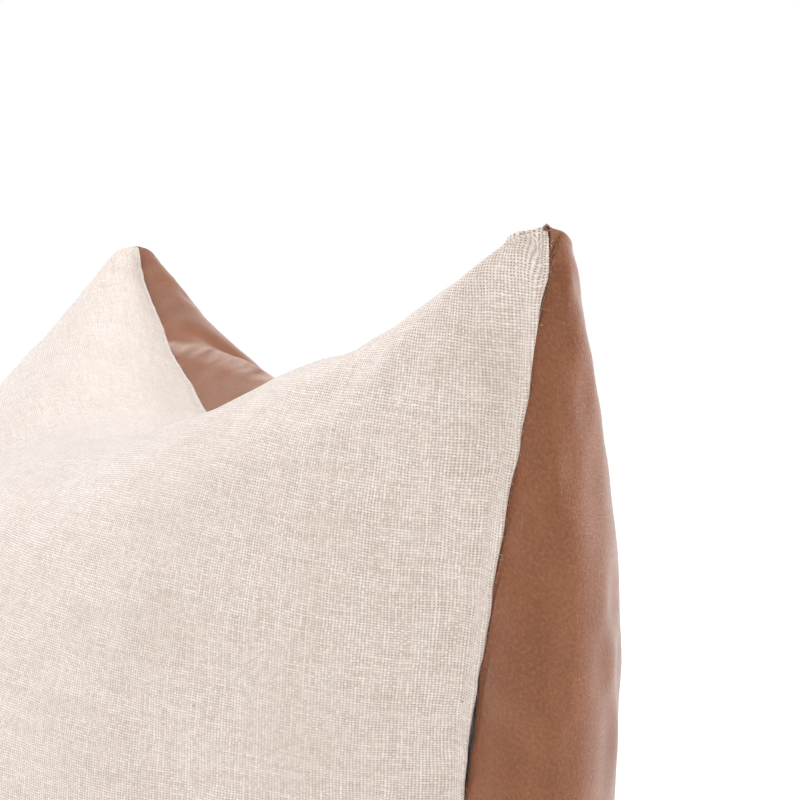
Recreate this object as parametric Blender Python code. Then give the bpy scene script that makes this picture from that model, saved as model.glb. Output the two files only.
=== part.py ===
"""Throw pillow with a linen front, a leather back, a feather insert and a zip in the bottom seam.

Metres, +Z up.  The pillow stands on its bottom edge: width along X, front panel towards -Y, leather
panel towards +Y, and the origin on the floor below the middle of its box.  Every layer is a grid over
the sewn square: u runs across from seam to seam and v runs up, both from -1 to 1.
"""
import math

import bmesh
import bpy

# ---- driving dimensions of the standing pillow -------------------------------------------------
EAR_HEIGHT = 0.470        # tips of the two upper corners above the floor
HALF_WIDTH = 0.241        # corner tips from the middle
NOTCH_DEPTH = 0.085       # how far the top seam sinks between the ears
SIDE_PULL = 0.054         # how far a side seam draws in at half height
FRONT_CROWN = 0.145       # depth of the linen side at its fullest
BACK_CROWN = 0.0605       # depth of the leather side at its fullest
TOP_PUFF = 0.041          # how far the filling swells above the top seam
SIDE_PUFF = 0.055         # how far it swells beyond a side seam
SEAM_SWAY = 0.007         # the side seams bow this far towards the linen at half height
BASE_FLAT = 0.012         # the bottom this far up is pressed flat on the floor
ROUNDING = 0.20           # rounds the middle of each seam, as a share of its half length

# ---- layers, measured inwards from the outside of the cover ------------------------------------
SEAM_GAP = 0.0003         # clearance between pieces that meet in a seam
SEAM_BULK = 0.0040        # the folded allowances keep the edge of the cover this thick, each side
BULK_REACH = 0.0130       # that thickness fades out this far in
PUFF_REACH = 0.0300       # the swelling over the seams fades out this far in
COVER_THICKNESS = 0.0014
COVER_THREAD_INSET = 0.0022
INSERT_DEPTH = 0.0045
TICKING_THICKNESS = 0.0010
INSERT_THREAD_INSET = 0.0023
FILL_DEPTH = 0.0090
COVER_THREAD_RADIUS = 0.00035
INSERT_THREAD_RADIUS = 0.0003
SEAM_END = 0.90           # each run of seam thread ends this near to a corner
INSERT_FLOOR = 0.0095     # the insert stands this high, over the zip

# ---- zip in the bottom seam --------------------------------------------------------------------
GROOVE_HALF = 0.005       # half the slot between the two turned-in edges
GROOVE_REACH = 0.88       # share of the half width that the slot runs to
CHAIN_HALF_LENGTH = 0.196
TAPE_HALF_LENGTH = 0.204
TAPE_INNER = 0.0026
TAPE_OUTER = 0.0130
TAPE_LOW = 0.0046
TAPE_THICKNESS = 0.0006
COIL_INNER = 0.00045
COIL_OUTER = 0.0024
COIL_LOW = 0.0036
COIL_HIGH = 0.0062
STOP_LENGTH = 0.0030
STITCH_OFFSET = 0.0085
STITCH_HEIGHT = 0.0030
SLIDER_START = -0.186     # middle of the slider when the zip is closed
SLIDER_LENGTH = 0.009
SLIDER_HALF_WIDTH = 0.0038
PLATE_THICKNESS = 0.0007
PLATE_GAP = 0.0003
FLANGE_WIDTH = 0.0006
FLANGE_HEIGHT = 0.0007
WEB_HALF_WIDTH = 0.00015
WEB_LENGTH = 0.0016
BRIDGE_HALF_LENGTH = 0.0032
BRIDGE_HALF_WIDTH = 0.0008
BRIDGE_BAR = 0.0005
BRIDGE_LEG = 0.0008
BRIDGE_LOW = 0.0009
PIN_HEIGHT = 0.00195
PULL_LENGTH = 0.022
PULL_HALF_WIDTH = 0.0025
PULL_THICKNESS = 0.0007
PULL_CHAMFER = 0.0013
EYE_LENGTH = 0.0044
EYE_HALF_WIDTH = 0.00115
PIN_HALF = 0.00035

GRID = 20                 # cells across a panel, each way

FRONT = -1
BACK = 1

for old in list(bpy.data.objects):
    bpy.data.objects.remove(old, do_unlink=True)


# ---- the swollen shape -------------------------------------------------------------------------
def from_middle(t):
    """Distance from the middle of an edge, rounded so that the edge has no kink there."""
    return (math.hypot(t, ROUNDING) - ROUNDING) / (math.hypot(1.0, ROUNDING) - ROUNDING)


def side_draw(v):
    """How far the side seam draws in at height v."""
    return SIDE_PULL * max(0.0, 1 - from_middle(v) ** 1.2) ** 1.4


def notch(u):
    """How far the top seam sinks at u: steep beside an ear, shallow in the middle."""
    return NOTCH_DEPTH * max(0.0, 1 - from_middle(u) ** 1.32) ** 0.74


def roll(t):
    """How the filling rolls out over a seam: nothing on the seam, full just inside it."""
    t = min(max(t, 0.0), 1.0)
    return (1 - (1 - t) ** 2) * (1 - t ** 11) ** 0.5


def crown(u, v, side):
    """Depth of the filling under one panel.  One half of each panel is a little fuller."""
    if side == FRONT:
        across = FRONT_CROWN * (1 - abs(u) ** 1.8) ** 0.95 * (1 - 0.17 * u)
    else:
        across = BACK_CROWN * (1 - abs(u) ** 2.44) ** 0.80 * (1 + 0.19 * u)
    return across * (1 - abs(v) ** 3.06) ** 0.43


def seam_sway(u, v):
    """How far a point is carried towards the linen by the bow of the side seams."""
    return SEAM_SWAY * u ** 4 * (1 - v * v)


def groove(u, v):
    """Half the gap between the panels: open along the zip, closed everywhere else."""
    along = 1 / (1 + (abs(u) / GROOVE_REACH) ** 60)
    return SEAM_GAP / 2 + GROOVE_HALF * along * ((1 - v) / 2) ** 14


def skin_point(u, v, side, depth, floor, slot):
    """A point of one layer: depth inwards from the outside, its base at height floor."""
    rise = (v + 1) / 2
    seam_height = EAR_HEIGHT - notch(u * (1 - depth / HALF_WIDTH)) - depth
    flat_height = floor + rise * (seam_height - floor)
    level = 2 * flat_height / (EAR_HEIGHT - notch(u)) - 1
    x = u * (HALF_WIDTH - side_draw(level) - depth)
    held = 1 - depth / PUFF_REACH
    x += math.copysign(SIDE_PUFF, u) * held * roll(abs(u)) * (1 - v * v) ** 0.7
    z = rise * seam_height + TOP_PUFF * held * roll(v) * (1 - u * u) ** 0.15
    pressed = BASE_FLAT * (1 - u ** 6)
    z = floor + max(0.0, z - pressed) * (seam_height - floor) / (seam_height - pressed)
    body = FRONT_CROWN if side == FRONT else BACK_CROWN
    y = crown(u, v, side) * (body - depth) / body
    y += groove(u, v) if slot else SEAM_GAP / 2
    if abs(u) < 1 and abs(v) < 1:
        y += SEAM_BULK * (1 - depth / BULK_REACH)
    return x, side * y - seam_sway(u, v), z


def grid_steps():
    """Values of u or v, closer together towards the seams."""
    return [math.sin(math.pi * (i / GRID - 0.5)) for i in range(GRID + 1)]


def middle_of_depth():
    """The Y of the middle of the cover's box, which the whole pillow is moved by."""
    steps = grid_steps()
    depths = [skin_point(u, v, side, 0, 0, True)[1] for u in steps for v in steps for side in (FRONT, BACK)]
    return (min(depths) + max(depths)) / 2


SHIFT_Y = -middle_of_depth()


# ---- mesh helpers ------------------------------------------------------------------------------
def material(name, color, roughness, metallic=0.0):
    made = bpy.data.materials.new(name)
    made.use_nodes = True
    shader = made.node_tree.nodes["Principled BSDF"]
    shader.inputs["Base Color"].default_value = (*color, 1.0)
    shader.inputs["Roughness"].default_value = roughness
    shader.inputs["Metallic"].default_value = metallic
    return made


def add_object(name, bm, surface, origin=(0.0, 0.0, 0.0), smooth=True):
    """Finish a bmesh as one named object whose mesh is measured from its own origin."""
    bmesh.ops.recalc_face_normals(bm, faces=bm.faces)
    if bm.calc_volume(signed=True) < 0:
        bmesh.ops.reverse_faces(bm, faces=bm.faces)
    bmesh.ops.translate(bm, verts=bm.verts, vec=[-c for c in origin])
    mesh = bpy.data.meshes.new(name)
    bm.to_mesh(mesh)
    bm.free()
    if smooth:
        mesh.shade_smooth()
    mesh.materials.append(surface)
    made = bpy.data.objects.new(name, mesh)
    made.location = origin
    bpy.context.scene.collection.objects.link(made)
    return made


def layer_grid(bm, side, depth, floor, slot):
    """One sheet of points over the panel, each cell split along the line towards its nearest corner."""
    steps = grid_steps()
    rows = []
    for v in steps:
        row = []
        for u in steps:
            x, y, z = skin_point(u, v, side, depth, floor, slot)
            row.append(bm.verts.new((x, y + SHIFT_Y, z)))
        rows.append(row)
    for j in range(GRID):
        for i in range(GRID):
            cell = [rows[j][i], rows[j][i + 1], rows[j + 1][i + 1], rows[j + 1][i]]
            if (i < GRID / 2) != (j < GRID / 2):
                cell = cell[1:] + cell[:1]
            bm.faces.new((cell[0], cell[1], cell[2]))
            bm.faces.new((cell[0], cell[2], cell[3]))
    return rows


def rim(rows):
    """The sheet's outer ring of points, once round."""
    ring = list(rows[0])
    ring += [row[-1] for row in rows[1:]]
    ring += list(reversed(rows[-1][:-1]))
    ring += [row[0] for row in reversed(rows[1:-1])]
    return ring


def bridge_rims(bm, first, second):
    for i, corner in enumerate(first):
        after = (i + 1) % len(first)
        bm.faces.new((corner, first[after], second[after], second[i]))


def shell(name, surface, side, depth, thickness, floor, slot):
    """One panel of a cover: outside, inside and the turned edge that joins them."""
    bm = bmesh.new()
    outside = layer_grid(bm, side, depth, floor, slot)
    inside = layer_grid(bm, side, depth + thickness, floor + thickness, slot)
    bridge_rims(bm, rim(outside), rim(inside))
    return add_object(name, bm, surface)


def filling(name, surface):
    """The closed body inside the insert."""
    bm = bmesh.new()
    floor = INSERT_FLOOR + FILL_DEPTH - INSERT_DEPTH
    front = layer_grid(bm, FRONT, FILL_DEPTH, floor, False)
    back = layer_grid(bm, BACK, FILL_DEPTH, floor, False)
    bridge_rims(bm, rim(front), rim(back))
    return add_object(name, bm, surface)


def box_into(bm, low, high):
    """Add a closed box between two corners."""
    size = [h - l for l, h in zip(low, high)]
    middle = [(h + l) / 2 for l, h in zip(low, high)]
    made = bmesh.ops.create_cube(bm, size=1.0)
    bmesh.ops.scale(bm, verts=made["verts"], vec=size)
    bmesh.ops.translate(bm, verts=made["verts"], vec=middle)


def bar(name, surface, low, high):
    bm = bmesh.new()
    box_into(bm, low, high)
    return add_object(name, bm, surface, smooth=False)


def thread(name, surface, route, radius):
    """A round thread along a list of points, with its ends closed."""
    curve = bpy.data.curves.new(name, "CURVE")
    curve.dimensions = "3D"
    curve.bevel_depth = radius
    curve.bevel_resolution = 1
    curve.use_fill_caps = True
    line = curve.splines.new("POLY")
    line.points.add(len(route) - 1)
    for point, place in zip(line.points, route):
        point.co = (*place, 1.0)
    curve.materials.append(surface)
    made = bpy.data.objects.new(name, curve)
    bpy.context.scene.collection.objects.link(made)
    return made


def seam_route(outline, depth, floor, inset):
    """A line along one edge of a layer, inset from it, without the outline's first and last point."""
    edge = [skin_point(u, v, BACK, depth, floor, False) for u, v in outline]
    places = []
    for i in range(1, len(edge) - 1):
        along = (edge[i + 1][0] - edge[i - 1][0], edge[i + 1][2] - edge[i - 1][2])
        length = math.hypot(*along)
        x = edge[i][0] - along[1] / length * inset
        z = edge[i][2] + along[0] / length * inset
        places.append((x, SHIFT_Y - seam_sway(*outline[i]), z))
    return places


def seam_threads(name, surface, depth, floor, inset, radius):
    """The three runs of a seam: up the right side, across the notch and down the left side."""
    steps = [s for s in grid_steps() if abs(s) < SEAM_END]
    runs = {
        "right": [(1.0, v) for v in steps],
        "top": [(u, 1.0) for u in reversed(steps)],
        "left": [(-1.0, v) for v in reversed(steps)],
    }
    for run, outline in runs.items():
        thread(name + "_" + run, surface, seam_route(outline, depth, floor, inset), radius)


# ---- zip ---------------------------------------------------------------------------------------
def mirrored_bar(name, surface, side, near, far, low, high, x_range):
    """A straight strip beside the zip's middle line, on the front or the back."""
    edges = sorted((SHIFT_Y + side * near, SHIFT_Y + side * far))
    return bar(name, surface, (x_range[0], edges[0], low), (x_range[1], edges[1], high))


def zip_side(name, side, tape_surface, coil_surface, thread_surface, metal_surface):
    """Tape, coil, stitching and open-end stop of one half of the zip."""
    whole = (-TAPE_HALF_LENGTH, TAPE_HALF_LENGTH)
    mirrored_bar(
        "zipper_tape_" + name, tape_surface, side, TAPE_INNER, TAPE_OUTER,
        TAPE_LOW, TAPE_LOW + TAPE_THICKNESS, whole,
    )
    chain = (-CHAIN_HALF_LENGTH, CHAIN_HALF_LENGTH)
    mirrored_bar(
        "zipper_coil_" + name, coil_surface, side, COIL_INNER, COIL_OUTER, COIL_LOW, COIL_HIGH, chain
    )
    stitched_y = SHIFT_Y + side * STITCH_OFFSET
    route = [(x, stitched_y, STITCH_HEIGHT) for x in whole]
    thread("zipper_stitch_" + name, thread_surface, route, INSERT_THREAD_RADIUS)
    stop_end = -CHAIN_HALF_LENGTH - SEAM_GAP
    stop = (stop_end - STOP_LENGTH, stop_end)
    mirrored_bar(
        "zipper_stop_open_" + name, metal_surface, side, COIL_INNER, COIL_OUTER, COIL_LOW, COIL_HIGH, stop
    )


def closed_stop(surface):
    start = CHAIN_HALF_LENGTH + SEAM_GAP
    low = (start, SHIFT_Y - COIL_OUTER, COIL_LOW)
    high = (start + STOP_LENGTH, SHIFT_Y + COIL_OUTER, COIL_HIGH)
    bar("zipper_stop_closed", surface, low, high)


def plate(bm, low_z, high_z):
    """A slider plate: a flat six-sided plate, wide at the middle and narrower at its ends."""
    half = SLIDER_LENGTH / 2
    narrow = SLIDER_HALF_WIDTH * 0.72
    outline = [(-half, -narrow), (0, -SLIDER_HALF_WIDTH), (half, -narrow)]
    outline += [(x, -y) for x, y in reversed(outline)]
    ring = [bm.verts.new((SLIDER_START + x, SHIFT_Y + y, low_z)) for x, y in outline]
    face = bm.faces.new(ring)
    made = bmesh.ops.extrude_face_region(bm, geom=[face])
    lifted = [v for v in made["geom"] if isinstance(v, bmesh.types.BMVert)]
    bmesh.ops.translate(bm, verts=lifted, vec=(0, 0, high_z - low_z))


def solid(name, surface, build):
    """A temporary object made by a build function, used as one part of a union."""
    bm = bmesh.new()
    build(bm)
    return add_object(name, bm, surface, smooth=False)


def joined(name, surface, parts, origin):
    """Union of overlapping solids, kept as one object whose origin is on its joint."""
    body = parts[0]
    for tool in parts[1:]:
        union = body.modifiers.new("union", "BOOLEAN")
        union.operation = "UNION"
        union.object = tool
    evaluated = body.evaluated_get(bpy.context.evaluated_depsgraph_get())
    bm = bmesh.new()
    bm.from_mesh(evaluated.to_mesh())
    bmesh.ops.remove_doubles(bm, verts=bm.verts, dist=1e-6)
    for part in parts:
        bpy.data.objects.remove(part, do_unlink=True)
    return add_object(name, bm, surface, origin, smooth=False)


def slider(surface):
    """Two plates on a web between the coils, edge flanges, and a bridge for the pull below."""
    under_top = COIL_LOW - PLATE_GAP
    under_low = under_top - PLATE_THICKNESS
    over_low = COIL_HIGH + PLATE_GAP
    over_top = over_low + PLATE_THICKNESS
    half = SLIDER_LENGTH / 2
    parts = [
        solid("under", surface, lambda bm: plate(bm, under_low, under_top)),
        solid("over", surface, lambda bm: plate(bm, over_low, over_top)),
    ]

    def web(bm):
        start = SLIDER_START - half * 0.9
        low = (start, SHIFT_Y - WEB_HALF_WIDTH, under_low + PLATE_THICKNESS / 2)
        box_into(bm, low, (start + WEB_LENGTH, SHIFT_Y + WEB_HALF_WIDTH, over_top - PLATE_THICKNESS / 2))

    parts.append(solid("web", surface, web))
    inset = SLIDER_HALF_WIDTH * 0.86
    reach = half * 0.55
    for side in (FRONT, BACK):
        for low_z, high_z in (
            (under_low + PLATE_THICKNESS / 2, under_top + FLANGE_HEIGHT),
            (over_low - FLANGE_HEIGHT, over_top - PLATE_THICKNESS / 2),
        ):
            edges = sorted((side * inset, side * (inset - FLANGE_WIDTH)))

            def flange(bm, edges=edges, low_z=low_z, high_z=high_z):
                low = (SLIDER_START - reach, SHIFT_Y + edges[0], low_z)
                box_into(bm, low, (SLIDER_START + reach, SHIFT_Y + edges[1], high_z))

            parts.append(solid("flange", surface, flange))

    def bridge(bm):
        low = (SLIDER_START - BRIDGE_HALF_LENGTH, SHIFT_Y - BRIDGE_HALF_WIDTH, BRIDGE_LOW)
        high = (SLIDER_START + BRIDGE_HALF_LENGTH, SHIFT_Y + BRIDGE_HALF_WIDTH, BRIDGE_LOW + BRIDGE_BAR)
        box_into(bm, low, high)

    parts.append(solid("bridge", surface, bridge))
    for end in (-1, 1):

        def leg(bm, end=end):
            ends = sorted((end * BRIDGE_HALF_LENGTH, end * (BRIDGE_HALF_LENGTH - BRIDGE_LEG)))
            inner = BRIDGE_HALF_WIDTH * 0.9
            low = (SLIDER_START + ends[0], SHIFT_Y - inner, BRIDGE_LOW + BRIDGE_BAR / 2)
            box_into(bm, low, (SLIDER_START + ends[1], SHIFT_Y + inner, under_low + PLATE_THICKNESS / 2))

        parts.append(solid("leg", surface, leg))
    origin = (SLIDER_START, SHIFT_Y, (under_low + over_top) / 2)
    return joined("zipper_slider", surface, parts, origin)


def pull(surface):
    """A flat tab with a square eye.  Its first edge is the bar that turns inside the bridge."""
    bottom = PIN_HEIGHT - PULL_THICKNESS / 2
    length = PULL_LENGTH
    outer = [(-PIN_HALF, -PULL_HALF_WIDTH), (length - PULL_CHAMFER, -PULL_HALF_WIDTH)]
    outer += [(length, PULL_CHAMFER - PULL_HALF_WIDTH)]
    outer += [(x, -y) for x, y in reversed(outer)]
    eye = [(PIN_HALF, -EYE_HALF_WIDTH), (EYE_LENGTH, -EYE_HALF_WIDTH)]
    eye += [(x, -y) for x, y in reversed(eye)]
    bm = bmesh.new()
    loops = []
    for outline in (outer, eye):
        loops.append([bm.verts.new((SLIDER_START + x, SHIFT_Y + y, bottom)) for x, y in outline])
    edges = [bm.edges.new((loop[i - 1], loop[i])) for loop in loops for i in range(len(loop))]
    bmesh.ops.triangle_fill(bm, edges=edges, use_beauty=True)
    made = bmesh.ops.extrude_face_region(bm, geom=list(bm.faces))
    lifted = [v for v in made["geom"] if isinstance(v, bmesh.types.BMVert)]
    bmesh.ops.translate(bm, verts=lifted, vec=(0, 0, PULL_THICKNESS))
    return add_object("zipper_pull", bm, surface, (SLIDER_START, SHIFT_Y, PIN_HEIGHT), smooth=False)


# ---- the whole pillow --------------------------------------------------------------------------
def build():
    linen = material("linen", (0.74, 0.66, 0.58), 0.85)
    leather = material("leather", (0.30, 0.13, 0.07), 0.45)
    thread_cream = material("sewing_thread", (0.70, 0.62, 0.52), 0.80)
    ticking = material("ticking", (0.82, 0.81, 0.78), 0.90)
    down = material("down", (0.85, 0.84, 0.80), 0.95)
    tape = material("zip_tape", (0.60, 0.53, 0.45), 0.85)
    coil = material("zip_coil", (0.62, 0.56, 0.48), 0.40)
    metal = material("zip_metal", (0.45, 0.36, 0.22), 0.35, 1.0)
    shell("front_panel", linen, FRONT, 0.0, COVER_THICKNESS, 0.0, True)
    shell("back_panel", leather, BACK, 0.0, COVER_THICKNESS, 0.0, True)
    seam_threads("cover_seam_thread", thread_cream, 0.0, 0.0, COVER_THREAD_INSET, COVER_THREAD_RADIUS)
    shell("insert_front", ticking, FRONT, INSERT_DEPTH, TICKING_THICKNESS, INSERT_FLOOR, False)
    shell("insert_back", ticking, BACK, INSERT_DEPTH, TICKING_THICKNESS, INSERT_FLOOR, False)
    seam_threads(
        "insert_seam_thread", thread_cream,
        INSERT_DEPTH, INSERT_FLOOR, INSERT_THREAD_INSET, INSERT_THREAD_RADIUS,
    )
    filling("down_fill", down)
    for name, side in (("front", FRONT), ("back", BACK)):
        zip_side(name, side, tape, coil, thread_cream, metal)
    closed_stop(metal)
    slider(metal)
    pull(metal)


build()
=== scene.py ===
"""Looks of a throw pillow: linen front, leather back, feather insert and a concealed zip below.

Metres, +Z up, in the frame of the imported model.  Each soft layer is a grid over the sewn square:
u runs across from seam to seam and v runs up, both from -1 to 1.  The linen faces -Y and the
leather +Y.  Both covers are settled once by Cloth, and keep only the small folds that this makes.
"""
import math

import bpy
import numpy as np
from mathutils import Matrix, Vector


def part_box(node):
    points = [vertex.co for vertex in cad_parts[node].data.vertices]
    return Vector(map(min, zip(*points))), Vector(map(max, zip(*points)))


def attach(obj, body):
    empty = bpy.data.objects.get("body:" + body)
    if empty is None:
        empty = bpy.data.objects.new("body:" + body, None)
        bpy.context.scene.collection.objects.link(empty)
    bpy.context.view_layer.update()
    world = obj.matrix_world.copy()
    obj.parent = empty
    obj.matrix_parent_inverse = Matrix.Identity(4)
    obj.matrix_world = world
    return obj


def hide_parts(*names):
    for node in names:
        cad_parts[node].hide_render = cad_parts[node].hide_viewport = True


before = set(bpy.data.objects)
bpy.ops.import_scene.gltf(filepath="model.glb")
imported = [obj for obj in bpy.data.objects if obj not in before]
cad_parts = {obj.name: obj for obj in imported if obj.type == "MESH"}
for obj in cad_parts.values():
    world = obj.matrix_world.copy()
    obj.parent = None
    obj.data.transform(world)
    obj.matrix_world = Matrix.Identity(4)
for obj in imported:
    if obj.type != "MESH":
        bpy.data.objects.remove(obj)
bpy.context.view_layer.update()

FRONT = -1
BACK = 1

# ---- the pillow's driving sizes, which repeat the frame's ----
EAR_HEIGHT = 0.470
HALF_WIDTH = 0.241
NOTCH_DEPTH = 0.085
SIDE_PULL = 0.054
CROWN = {FRONT: 0.145, BACK: 0.0605}
TOP_PUFF = 0.041
SIDE_PUFF = 0.055
SEAM_SWAY = 0.007
PUFF_REACH = 0.030
BASE_FLAT = 0.012
ROUNDING = 0.20
GROOVE_HALF = 0.005
GROOVE_REACH = 0.88
SEAM_BULK = 0.0032
BULK_REACH = 0.013
SEAM_Y = (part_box("zipper_coil_front")[0][1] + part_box("zipper_coil_back")[1][1]) / 2

# ---- sewing ----
CORNER_ROUNDING = 0.034        # radius of a turned corner, as a share of the half width
EAR_FILL = {FRONT: 0.0052, BACK: 0.0022}    # the folded allowances plump a corner by this much
EAR_PLUMP = {FRONT: 0.0016, BACK: 0.0008}
EAR_REACH = 0.0110
TIP_START = 0.464              # above this height an ear is pressed down by TIP_SETTLE of the rest
TIP_SETTLE = 0.20
CORNER_EASE = 0.045            # how far into a panel its corner is evened out
EASING_PASSES = {FRONT: 8, BACK: 16}
FABRIC = {FRONT: 0.0006, BACK: 0.0008}
TICKING = 0.0005
ALLOWANCE = 0.0026
INSERT_DEPTH = 0.0045
INSERT_FLOOR = 0.0095
FILL_DEPTH = 0.0090
COVER_STITCH_INSET = 0.0022
INSERT_STITCH_INSET = 0.0023
STITCH_PITCH = 0.0030
STITCH_LENGTH = STITCH_PITCH * 0.94
SEWN_SHARE = 0.93              # stitches stop at this share of the way to a corner
COVER_THREAD = 0.00022         # its radius
INSERT_THREAD = 0.0002         # the radius of this thread and of the zip's
ZIP_WIRE = 0.00022
TOOTH_PITCH = 0.0012

# ---- weave, taken from threads per centimetre, and loose fibres ----
WARP_PITCH = 0.00092
WEFT_PITCH = 0.00076
NAP_FLOOR = 0.006              # no fibre grows below this height
EDGE_FOLD = 0.0006             # the outermost fold of the linen's edge stands this far out

# ---- grids and cloth ----
CROWDING = 0.85                # how much closer together the grid's lines are at the seams
PANEL_CELLS = 190
SIM_CELLS = 44
INNER_CELLS = 60
SIM_FRAMES = 20
SPARE_FABRIC = 0.030           # the covers are cut this much larger than the filling needs
MOTION_CAP = 0.0008            # settling moves no point further than this
FOLD_SPAN = 5.0                # folds narrower than this many cells of the settling grid are kept
CLOTH_SETTINGS = {
    "quality": 6, "mass": 0.25, "tension_stiffness": 12, "compression_stiffness": 12,
    "shear_stiffness": 5, "bending_stiffness": 0.06, "shrink_min": -SPARE_FABRIC,
    "vertex_group_mass": "sewn", "use_pressure": True, "uniform_pressure_force": 4.0,
}

# ---- the far fold, which runs back from the top seam along x = FOLD_X + FOLD_SLOPE * y ----
FOLD_X = -0.174
FOLD_SLOPE = 2.54
FOLD_WAVES = (                 # height, place across the fold, width
    (0.0024, 0.0, 0.0050), (-0.0030, -0.0135, 0.0085),
    (0.0004, 0.0095, 0.0022), (-0.0004, 0.0065, 0.0018),
    (0.0003, 0.0160, 0.0025), (-0.0003, 0.0125, 0.0020),
)


# ---- the swollen shape ----
def from_middle(t):
    """Distance from the middle of an edge, rounded so that the edge has no kink there."""
    return (np.hypot(t, ROUNDING) - ROUNDING) / (math.hypot(1.0, ROUNDING) - ROUNDING)


def positive(t):
    return np.clip(t, 0.0, None)


def clipped(t):
    """t kept between 0 and 1."""
    return np.clip(t, 0, 1)


def bump_at(t, centre, width):
    return np.exp(-((t - centre) / width) ** 2)


def inside(u, v, power):
    """1 over most of a panel, falling to 0 on its edge."""
    return positive(1 - u ** power) * positive(1 - v ** power)


def side_draw(v):
    return SIDE_PULL * positive(1 - from_middle(v) ** 1.2) ** 1.4


def notch(u):
    return NOTCH_DEPTH * positive(1 - from_middle(u) ** 1.32) ** 0.74


def roll(t, edge=11.0, ending=0.5):
    """How the filling rolls out over a seam: nothing on the seam, full just inside it."""
    t = clipped(t)
    return (1 - (1 - t) ** 2) * positive(1 - t ** edge) ** ending


def crown(u, v, side):
    """Depth of the filling under a panel; one half of each panel is a little fuller."""
    if side == FRONT:
        across = positive(1 - np.abs(u) ** 1.8) ** 0.95 * (1 - 0.17 * u)
    else:
        across = positive(1 - np.abs(u) ** 2.44) ** 0.80 * (1 + 0.19 * u)
    return CROWN[side] * across * positive(1 - np.abs(v) ** 3.06) ** 0.43


def groove(u, v):
    along = 1 / (1 + (np.abs(u) / GROOVE_REACH) ** 60)
    return GROOVE_HALF * along * ((1 - v) / 2) ** 14


def turned_corner(u, v):
    """Carry the grid's square corners onto round ones."""
    edge = 1 - CORNER_ROUNDING
    a = positive(np.abs(u) - edge)
    b = positive(np.abs(v) - edge)
    reach = np.hypot(a, b)
    scale = np.where(reach > 0, np.maximum(a, b) / np.where(reach > 0, reach, 1.0), 1.0)
    return (
        np.sign(u) * np.where(a > 0, edge + a * scale, np.abs(u)),
        np.sign(v) * np.where(b > 0, edge + b * scale, np.abs(v)),
    )


def skin(u, v, side, depth=0.0, floor=0.0, bulk=SEAM_BULK):
    """Points of one layer, depth inwards from the outside, with its base at height floor."""
    ring = np.maximum(np.abs(u), np.abs(v))
    y = crown(u, v, side) * (CROWN[side] - depth) / CROWN[side]
    y = y + groove(u, v) * (depth == 0)
    y = y + bulk * (1 - depth / BULK_REACH) * positive(1 - ring ** 40)
    y = y + positive(EAR_FILL[side] - depth) * positive(1 - ring ** 26) ** 0.55 * np.abs(u * v) ** 6
    u, v = turned_corner(u, v)
    rise = (v + 1) / 2
    seam_height = EAR_HEIGHT - notch(u * (1 - depth / HALF_WIDTH)) - depth
    level = 2 * (floor + rise * (seam_height - floor)) / (EAR_HEIGHT - notch(u)) - 1
    held = 1 - depth / PUFF_REACH
    x = u * (HALF_WIDTH - side_draw(level) - depth)
    x = x + np.sign(u) * SIDE_PUFF * held * side_roll(u, side) * positive(1 - v * v) ** 0.7
    lower = 0.09 * bump_at(u, 0.92, 0.20) + 0.08 * bump_at(u, 0.80, 0.08)
    puff = TOP_PUFF * (1 - lower * (side == FRONT))
    z = rise * seam_height + puff * held * roll(v) * positive(1 - u * u) ** 0.15
    pressed = BASE_FLAT * (1 - u ** 6)
    z = floor + positive(z - pressed) * (seam_height - floor) / (seam_height - pressed)
    y = side * y - SEAM_SWAY * u ** 4 * positive(1 - v * v) + SEAM_Y
    return np.stack([x, y, z], axis=-1)


def side_roll(u, side):
    """The linen rolls out less over the right seam than over the left one, which leaves it open."""
    full = roll(np.abs(u))
    if side == BACK:
        return full
    return np.where(u > 0, roll(np.abs(u), 7.0, 1.6) * 0.5, full)


def grid_steps(cells):
    """Values of u or v, closer together towards the seams."""
    even = np.arange(cells + 1) / cells * 2 - 1
    return CROWDING * np.sin(np.pi / 2 * even) + (1 - CROWDING) * even


def grid(cells):
    steps = grid_steps(cells)
    return np.meshgrid(steps, steps)


# ---- folds, puckers and dents ----
def ripple(t, wavelength, seed):
    """A smooth random wave along one coordinate, of about this wavelength."""
    draw = np.random.default_rng(seed)
    total = 0
    for _ in range(7):
        rate = 2 * math.pi / (wavelength * draw.uniform(0.7, 1.5))
        total = total + np.sin(t * rate + draw.uniform(0, 2 * math.pi))
    return total / math.sqrt(3.5)


def dents(places, wavelength, seed, stretch=(1.0, 1.0)):
    """A smooth random field over the flat pattern."""
    draw = np.random.default_rng(seed)
    total = 0
    for _ in range(18):
        angle = draw.uniform(0, 2 * math.pi)
        rate = 2 * math.pi / (wavelength * draw.uniform(0.75, 1.5))
        across = places[..., 0] * math.cos(angle) / stretch[0]
        up = places[..., 1] * math.sin(angle) / stretch[1]
        total = total + np.sin(rate * (across + up) + draw.uniform(0, 2 * math.pi))
    return total / 3.0


def arc_lengths(points, axis):
    """Length along the surface from the middle line, which makes the flat pattern of the cloth."""
    steps = np.linalg.norm(np.diff(points, axis=axis), axis=-1)
    total = np.cumsum(steps, axis=axis)
    first = np.zeros_like(np.take(total, [0], axis=axis))
    total = np.concatenate([first, total], axis=axis)
    middle = points.shape[axis] // 2
    return total - np.take(total, [middle], axis=axis)


def flat_pattern(points):
    return np.stack([arc_lengths(points, 1), arc_lengths(points, 0)], axis=-1)


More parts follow.
